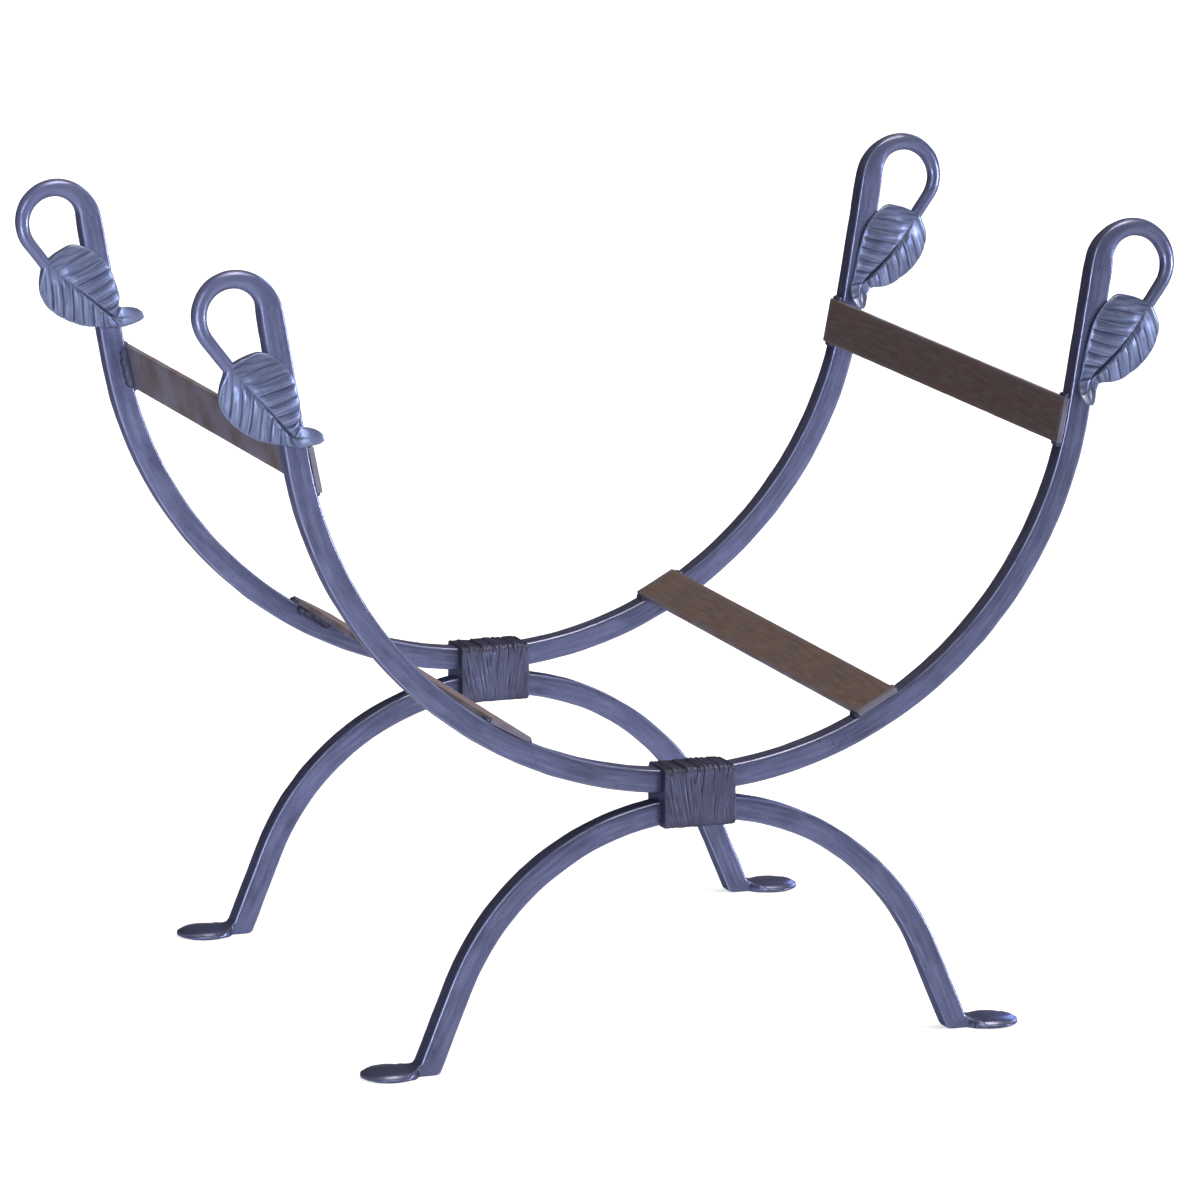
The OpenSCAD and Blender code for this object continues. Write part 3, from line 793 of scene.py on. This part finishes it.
def leaf_heights(u, w, s, leans, reach_end, puff):
    """Front and back of the leaf at a point, as heights in front of the arm's face, then how sunk it
    is, and how much it lies on the lip beside the midrib."""
    fold = smooth(u / NECK_END) * (1 - smooth((u - FLAT_FROM) / (FLAT_TO - FLAT_FROM)))
    front = ridge(u) - (w * math.tan(math.radians(OUTER_FALL)) * fold if w > 0 else -w * INNER_SLOPE)
    tail = smooth((u - TAIL_FROM) / 0.1)
    thick = mix(ROD_END, LEAF_THICK, smooth(u / NECK_END)) + TAIL_EXTRA * tail
    power = mix(2.0, 8.0, smooth(u / NECK_END)) - 5.6 * tail
    rim = max(1 - min(abs(s), 1.0) ** power, 0.0) ** (1 / power)
    rim = max(rim, 0.12) * math.sqrt(1 - 0.85 * max((u - 0.95) / 0.05, 0) ** 2)
    body = smooth((u - 0.04) / 0.22) * (1 - smooth((u - 0.70) / 0.12))
    height, skew = puff if s > 0 else INNER_PUFF
    pillow = height * body * math.sin(math.pi * abs(s) ** skew) ** 0.9
    lip = smooth((u - 0.38) / 0.12) * (1 - smooth((u - 0.70) / 0.08))
    lip *= math.exp(-((w - LIP_PLACE) / LIP_HALF) ** 2)
    rib, side, band = vein_share(u, w, s, leans, reach_end)
    middle = front - thick / 2
    pressed = LIP * lip - RIB_DEPTH * rib - VEIN_DEPTH * side + BAND * (band - 0.6)
    front_height = middle + thick / 2 * rim + pillow + pressed
    back_height = middle - thick / 2 * rim + 0.6 * pillow
    return front_height, back_height, max(0.8 * rib, side), lip


print(f"the midrib stands {RIDGE_HIGH:.1f} mm in front of the arm, the tail's tip {LEAF_CURL:.1f} mm")


# %% Leaves
leaf_start = [c + CROOK_TAIL * d for c, d in zip(bend_end, tip_way)]
leaf_side = (-tip_way[1], tip_way[0])
ROWS, COLUMNS = 156, 96
BEND_SHARE = 0.9
RIM_NOTCH = 0.014


def finish_layers(bm):
    """Three layers that the materials read: near an edge, in a groove, and place along the grain."""
    layers = bm.verts.layers
    return layers.float.new("edge"), layers.float.new("groove"), layers.float_vector.new("grain")


def make_leaf(name, node, y, left, lift, bow, tail_turn, drop, leans, reach_end, puff):
    bm = bmesh.new()
    edge, groove, grain = finish_layers(bm)
    bmesh.ops.create_grid(bm, x_segments=ROWS, y_segments=COLUMNS, size=1)
    out = bmesh.ops.extrude_face_region(bm, geom=bm.faces[:], use_keep_orig=True)["geom"]
    back = {g for g in out if isinstance(g, bmesh.types.BMVert)}
    path, lift = rib_path(bow, tail_turn, ROWS), math.radians(lift)
    for v in bm.verts:
        row = round((v.co.x + 1) / 2 * ROWS)
        u, s = row / ROWS, math.sin(v.co.y * math.pi / 2)
        rib, turn = path[row]
        bent = (path[min(row + 1, ROWS)][1] - path[max(row - 1, 0)][1]) / 2 * ROWS / LEAF_LENGTH
        width = LEAF_WIDTH * along_edge(INNER_EDGE if s < 0 else OUTER_EDGE, u)
        inside = bent if s < 0 else -bent
        w = s * (min(width, BEND_SHARE / inside) if inside > 0.01 else width)
        vein_end = vein_share(u, w, math.copysign(0.8, s), leans, reach_end)[1]
        w *= 1 - RIM_NOTCH * vein_end * smooth((abs(s) - 0.8) / 0.2)
        front_h, back_h, sunk, lip = leaf_heights(u, w, s, leans, reach_end, puff)
        flat = rib + w * Vector((math.sin(turn), math.cos(turn)))
        along = flat.x * math.cos(lift) + flat.y * math.sin(lift) + drop
        across = flat.y * math.cos(lift) - flat.x * math.sin(lift)
        x = leaf_start[0] + along * tip_way[0] + across * leaf_side[0]
        z = leaf_start[1] + along * tip_way[1] + across * leaf_side[1]
        # Painted shade: the front of each vein and of the midrib is painted dark, as if in shade
        v[groove] = 0.0 if v in back else 0.75 * sunk
        # Painted highlights: the tail and the lip beside the midrib are painted lighter. The rim is
        # rubbed lighter with a painted sheen, like the bars' corners
        v[edge] = 0.4 * smooth((abs(s) - 0.9) / 0.1) + 0.35 * smooth((u - TAIL_FROM) / 0.1) + 0.3 * lip
        lean = lean_at(s, leans)
        vein_root = u * LEAF_LENGTH - abs(w) / math.tan(lean)
        # Grain along the veins: the finish paints lighter streaks along it as a painted sheen
        v[grain] = Vector((vein_root, math.copysign(9, s), abs(w) / math.sin(lean)))
        v.co = Vector((-x if left else x, y - (back_h if v in back else front_h), z)) * MM
    hammer(bm, broad=0.22, fine=0.10)
    finish_piece(bm, name, [node], leaf_sheen_steel, sharp=70)


LEFT = dict(bow=0, tail_turn=55, leans=(65, 45), reach_end=0.80, puff=(1.4, 0.75))
RIGHT = dict(bow=9, tail_turn=-22, leans=(60, 64), reach_end=0.93, puff=(2.1, 0.6))
make_leaf("front_left_leaf_blade", "front_left_leaf", FRONT_Y, True, 4, drop=FRONT_LEFT_DROP, **LEFT)
make_leaf("rear_left_leaf_blade", "rear_left_leaf", REAR_Y, True, 13, drop=0, **LEFT)
make_leaf("front_right_leaf_blade", "front_right_leaf", FRONT_Y, False, 0, drop=0, **RIGHT)
make_leaf("rear_right_leaf_blade", "rear_right_leaf", REAR_Y, False, 0, drop=0, **RIGHT)

# %% [markdown]
# ## Collars
# A collar is a band that was wrapped hot round both bars and beaten tight, which drew its face into
# uneven upright flutes. It is a cube with its long edges rounded, cut into a fine grid. Each crease
# lies where a long, narrow noise passes through zero, so creases run together and apart like real ones.
# They lean towards the middle at the bottom and get shallow there. Their valleys are painted dark, as
# painted shade, and their crests lighter, as rubbed wear with a painted sheen.

# %% Collars
COLLAR_CORNER, COLLAR_CHAMFER = 4.0, 0.9
FLUTE_DEPTH = 0.4
LOW_SHARE = 0.4


def cut_along(bm, cuts, axis, longer):
    """Cuts the edges that run along an axis for more than a length, in millimetres."""
    found = [e for e in bm.edges if abs(e.verts[0].co[axis] - e.verts[1].co[axis]) > longer * MM]
    bmesh.ops.subdivide_edges(bm, edges=found, cuts=cuts, use_grid_fill=True)


def flute(x, fall):
    """Height of the flutes, from -1.3 to 0.7, at a place across the collar. Fall is 0 at the top."""
    q = x / (1 - 0.40 * fall) + 1.2 * noise.noise(Vector((x / 9, fall * 1.6, 3.0)))
    broad = noise.noise(Vector((q / 2.7, fall * 0.8, 11.0)))
    fine = noise.noise(Vector((q / 1.5, fall * 1.3, 27.0)))
    return 1.3 * min(abs(broad) / 0.22, 1) + 0.7 * min(abs(fine) / 0.2, 1) - 1.3


def make_collar(name, node):
    low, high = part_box(node)
    size, middle = high - low, (low + high) / 2
    bm = bmesh.new()
    bmesh.ops.create_cube(bm, size=1)
    bmesh.ops.scale(bm, vec=size, verts=bm.verts[:])
    along = [e for e in bm.edges if abs(e.verts[0].co.x - e.verts[1].co.x) > 1e-4]
    bmesh.ops.bevel(bm, geom=along, offset=COLLAR_CORNER * MM, segments=6, profile=0.5, affect="EDGES",
                    material=-1)
    ends = [e for e in bm.edges
            if abs(e.verts[0].co.x - e.verts[1].co.x) < 1e-6 and len(e.link_faces) == 2]
    bmesh.ops.bevel(bm, geom=ends, offset=COLLAR_CHAMFER * MM, segments=2, profile=0.5, affect="EDGES",
                    material=-1)
    for cuts, axis in ((190, 0), (36, 2), (14, 1)):
        cut_along(bm, cuts, axis, 6)
    edge, groove, grain = finish_layers(bm)
    bm.normal_update()
    for v in bm.verts:
        p = v.co / MM
        fall = min(max(0.5 - p.z / (size.z / MM), 0), 1)
        strength = (1 - abs(v.normal.x)) * mix(1.0, LOW_SHARE, smooth((fall - 0.5) / 0.5))
        height = flute(p.x, fall)
        # Painted shade in the flute valleys, and a painted sheen with rubbed wear on the crests
        v[groove] = strength * smooth((-height - 0.2) / 0.9) * 0.8
        v[edge] = strength * smooth((height - 0.5) / 0.4) * 0.35
        v[grain] = p
        v.co += v.normal * (FLUTE_DEPTH * strength * height * MM)
    bmesh.ops.translate(bm, vec=middle, verts=bm.verts[:])
    hammer(bm, broad=0.35, fine=0.15)
    finish_piece(bm, name, [node], collared)


make_collar("front_collar_band", "front_collar")
make_collar("rear_collar_band", "rear_collar")

# %% [markdown]
# ## Flat bars
# The four flat bars are rolled stock: crisp, with just a small rounding along the edges. They are cubes
# with bevelled edges, cut along their length so that they can waver by a tenth of a millimetre. Their
# outer faces are painted lighter, a painted reflection of the white floor, and their cut ends are
# brushed lighter, while the inner faces, which carry the load, stay brown.

# %% Flat bars
FLAT_ROUNDING = 0.55
OUTSIDE_PAINTED_REFLECTION, END_RUB, CORNER_RUB = 0.8, 2.0, 0.7
flat_outer = math.sqrt((HOOP_RADIUS - HALF) ** 2 - (FLAT_WIDTH / 2) ** 2)


def make_flat(name, node, angle, left):
    """A flat bar against the inside of both hoops, at an angle from X towards Z."""
    bm = bmesh.new()
    bmesh.ops.create_cube(bm, size=1)
    bmesh.ops.scale(bm, vec=Vector((FLAT_THICK, DEPTH, FLAT_WIDTH)) * MM, verts=bm.verts[:])
    bmesh.ops.bevel(bm, geom=bm.edges[:], offset=FLAT_ROUNDING * MM, segments=3, profile=0.5,
                    affect="EDGES", material=-1)
    for cuts, axis in ((90, 1), (8, 2)):
        cut_along(bm, cuts, axis, 8)
    edge, groove, grain = finish_layers(bm)
    for v in bm.verts:
        p = v.co / MM
        outside = p.x > 1.0
        at_end = abs(p.y) > DEPTH / 2 - 0.6
        corner = smooth((abs(p.z) - (FLAT_WIDTH / 2 - 1.0)) / 0.8)
        v[groove] = 0.5 if at_end else 0.0
        # The outer face is painted lighter, a painted reflection of the white floor
        v[edge] = max(OUTSIDE_PAINTED_REFLECTION * outside, END_RUB * at_end, CORNER_RUB * corner)
        v[grain] = Vector((p.x, p.z, p.y))
    turn = Matrix.Rotation(math.radians(-angle), 3, "Y")
    bmesh.ops.translate(bm, vec=Vector((flat_outer - FLAT_THICK / 2, 0, 0)) * MM, verts=bm.verts[:])
    bmesh.ops.rotate(bm, cent=(0, 0, 0), matrix=turn, verts=bm.verts[:])
    bmesh.ops.translate(bm, vec=Vector((0, FRONT_Y + DEPTH / 2, HOOP_Z)) * MM, verts=bm.verts[:])
    if left:
        bmesh.ops.scale(bm, vec=(-1, 1, 1), verts=bm.verts[:])
    hammer(bm, broad=0.10, fine=0.03)
    finish_piece(bm, name, [node], rolled)


for hand in ("left", "right"):
    make_flat(f"upper_{hand}_flat", f"upper_{hand}_cross_bar", -UPPER_ANGLE, hand == "left")
    make_flat(f"lower_{hand}_flat", f"lower_{hand}_cross_bar", LOWER_ANGLE - 90, hand == "left")

# %% [markdown]
# ## Welds
# Each flat bar is held to each hoop by two short beads along its edges, and by a fatter one across its
# outer face. A bead is a row of overlapping ripples, where the rod paused. It is a small circle that is
# extruded along the seam, and whose radius goes up and down as it travels.

# %% Welds
BEAD, CROSS_BEAD = 1.75, 3.0
BEAD_INSET, EDGE_IN, EDGE_UP = 0.9, 0.5, 0.3
CROSS_OUT, CROSS_HALF, CROSS_Y = 1.5, 11.0, 0.4


def make_bead(bm, start, end, size, left):
    """One bead between two points, all in millimetres. The size is its radius where it is fullest."""
    axis = (end - start).normalized()
    steps = max(round((end - start).length * 2), 20)
    turn = Vector((0, 0, 1)).rotation_difference(axis).to_matrix().to_4x4()
    place = Matrix.Translation(start * MM) @ turn
    verts = bmesh.ops.create_circle(bm, cap_ends=True, segments=16, radius=size / 2 * MM,
                                    matrix=place)["verts"]
    face, made = verts[0].link_faces[0], set(verts)
    for i in range(1, steps + 1):
        face = next_step(bm, face)
        share = i / steps
        lump = 0.10 * math.sin(share * steps / 2) + 0.22 * noise.noise(start.lerp(end, share) / 3)
        radius = size * (1 + lump) * min(1, 0.5 + 5 * min(share, 1 - share))
        centre, middle = start.lerp(end, share) * MM, face.calc_center_median()
        for v in face.verts:
            off = v.co - middle
            v.co = centre + (off - axis * off.dot(axis)).normalized() * (radius * MM)
        made |= set(face.verts)
    if left:
        bmesh.ops.scale(bm, vec=(-1, 1, 1), verts=list(made))


def seam(angle, out, up, y):
    """Point beside the flat bar at an angle: out from its outer face, up from its middle."""
    turned = Matrix.Rotation(math.radians(-angle), 3, "Y") @ Vector((flat_outer + out, 0, up))
    return turned + Vector((0, y, HOOP_Z))


def make_welds(name, node, y, across_y):
    bm = bmesh.new()
    for angle in (-UPPER_ANGLE, LOWER_ANGLE - 90):
        for left in (False, True):
            for up in (-FLAT_WIDTH / 2 - EDGE_UP, FLAT_WIDTH / 2 + EDGE_UP):
                ends = [seam(angle, -EDGE_IN, up, at) for at in (y + BEAD_INSET, y + BAR - BEAD_INSET)]
                make_bead(bm, *ends, BEAD, left)
            ends = [seam(angle, CROSS_OUT, up, across_y) for up in (-CROSS_HALF, CROSS_HALF)]
            make_bead(bm, *ends, CROSS_BEAD, left)
    hammer(bm, broad=0.3, fine=0.5)
    finish_piece(bm, name, [node], collared)


make_welds("front_weld_beads", "front_welds", FRONT_Y, FRONT_Y + BAR + CROSS_Y)
make_welds("rear_weld_beads", "rear_welds", REAR_Y, REAR_Y - CROSS_Y)

# %% [markdown]
# ## Studio
# Dark steel on white shows its form through what it reflects, so most of the work is in what each lamp
# is allowed to do. The front lamp stands well to the right: the leaves throw a shadow on the arms, and
# the left sides stay dark. It is kept out of reflections. Two low gleam lamps do the opposite. They
# light nothing and are seen only as gleams on rods and leaves. An upper lamp on the left opens the
# shadows, a warm one from above gives the tops a rim, and one behind is for the back. Two narrow lamps
# from the front lift the upper arms. The floor adds white for rays that come from the camera. A round
# sheet of white paper lies under the holder, and only reflections see how bright it is: the lower
# halves of the leaves and the undersides of the rods get their gleam from it.

# %% World and floor
WORLD_COLOUR, WORLD_GLOW = (1.0, 0.95, 0.90, 1), 0.08
FLOOR_COLOUR, FLOOR_RADIUS = (0.55, 0.55, 0.56, 1), 14
FLOOR_GLOW, PAPER_GLOW = 0.68, 0.85
PAPER_RADIUS, PAPER_FADE = 1.2, 0.5

world = bpy.data.worlds.new("studio")
bpy.context.scene.world = world
world.use_nodes = True
world.node_tree.nodes["Background"].inputs["Color"].default_value = WORLD_COLOUR
world.node_tree.nodes["Background"].inputs["Strength"].default_value = WORLD_GLOW

disc = bmesh.new()
bmesh.ops.create_circle(disc, cap_ends=True, segments=96, radius=FLOOR_RADIUS)
floor_data = bpy.data.meshes.new("floor")
disc.to_mesh(floor_data)
disc.free()
floor = bpy.data.objects.new("floor", floor_data)
bpy.context.scene.collection.objects.link(floor)

pale = bpy.data.materials.new("pale_floor")
pale.use_nodes = True
tree = pale.node_tree
paint = tree.nodes["Principled BSDF"]
paint.inputs["Base Color"].default_value = FLOOR_COLOUR
paint.inputs["Roughness"].default_value = 0.9
paint.inputs["Specular IOR Level"].default_value = 0.05
paint.inputs["Emission Color"].default_value = (1, 1, 1, 1)
ray = add(tree, "ShaderNodeLightPath")
where = add(tree, "ShaderNodeTexCoord")
distance = add(tree, "ShaderNodeVectorMath", operation="LENGTH")
tree.links.new(where.outputs["Object"], distance.inputs[0])
paper = spread(tree, distance.outputs["Value"], PAPER_RADIUS, PAPER_RADIUS + PAPER_FADE, PAPER_GLOW, 0.0)
mirrored = maths(tree, "MAXIMUM", ray.outputs["Is Glossy Ray"], ray.outputs["Is Transmission Ray"])
seen = maths(tree, "MULTIPLY", ray.outputs["Is Camera Ray"], FLOOR_GLOW)
glow = maths(tree, "ADD", seen, maths(tree, "MULTIPLY", mirrored, paper))
tree.links.new(glow, paint.inputs["Emission Strength"])
floor_data.materials.append(pale)
print("floor glow for the camera:", FLOOR_GLOW, "and of the paper for reflections:", PAPER_GLOW)

# %% Lamps
SPOT_ANGLE, SPOT_SOFTNESS = 11, 0.3


def hang(name, lamp, place, target, mirrored):
    """Puts a lamp at a place, turned to its target. Only a mirrored one shows in reflections."""
    holder = bpy.data.objects.new(name, lamp)
    holder.location = place
    holder.rotation_euler = (Vector(target) - Vector(place)).to_track_quat("-Z", "Y").to_euler()
    holder.visible_glossy = mirrored
    bpy.context.scene.collection.objects.link(holder)
    print(f"lamp {name}: {lamp.energy:.0f} W")
    return holder


def soft_lamp(name, place, target, size, power, mirrored=True, lights=True, warmth=0.0):
    """Round soft lamp, hidden from the camera. It lights surfaces, shows in reflections, or both."""
    lamp = bpy.data.lights.new(name, "AREA")
    lamp.shape, lamp.size, lamp.energy = "DISK", size, power
    lamp.color = (1, 1 - 0.4 * warmth, 1 - warmth)
    holder = hang(name, lamp, place, target, mirrored)
    holder.visible_diffuse = lights
    holder.visible_camera = False


def narrow_lamp(name, place, target, power):
    """Spot with a wide soft rim, kept out of reflections."""
    lamp = bpy.data.lights.new(name, "SPOT")
    lamp.energy, lamp.spot_size, lamp.spot_blend = power, math.radians(SPOT_ANGLE), 1.0
    lamp.shadow_soft_size = SPOT_SOFTNESS
    hang(name, lamp, place, target, mirrored=False)


soft_lamp("front_lamp", (4.3, -3.9, 2.0), (0, 0, 0.2), 1.4, 230, mirrored=False)
soft_lamp("right_gleam", (2.9, -1.3, 0.3), (0.2, 0, 0.4), 0.8, 85, lights=False)
soft_lamp("left_gleam", (-1.8, -2.3, 0.3), (-0.2, 0, 0.4), 0.7, 42, lights=False)
soft_lamp("upper_lamp", (-3.0, -3.8, 2.4), (0, 0, 0.3), 0.8, 50)
soft_lamp("top_lamp", (0.5, -0.4, 3.9), (0, 0, 0.2), 2.2, 175, warmth=0.4)
soft_lamp("rear_lamp", (3.0, 3.6, 1.6), (0, 0, 0.2), 1.8, 120)
narrow_lamp("left_spot", (-1.4, -5.2, 1.6), (-0.35, 0, 0.5), 2500)
narrow_lamp("right_spot", (1.6, -5.2, 1.6), (0.38, 0, 0.52), 900)
bpy.context.scene.view_settings.view_transform = "Standard"
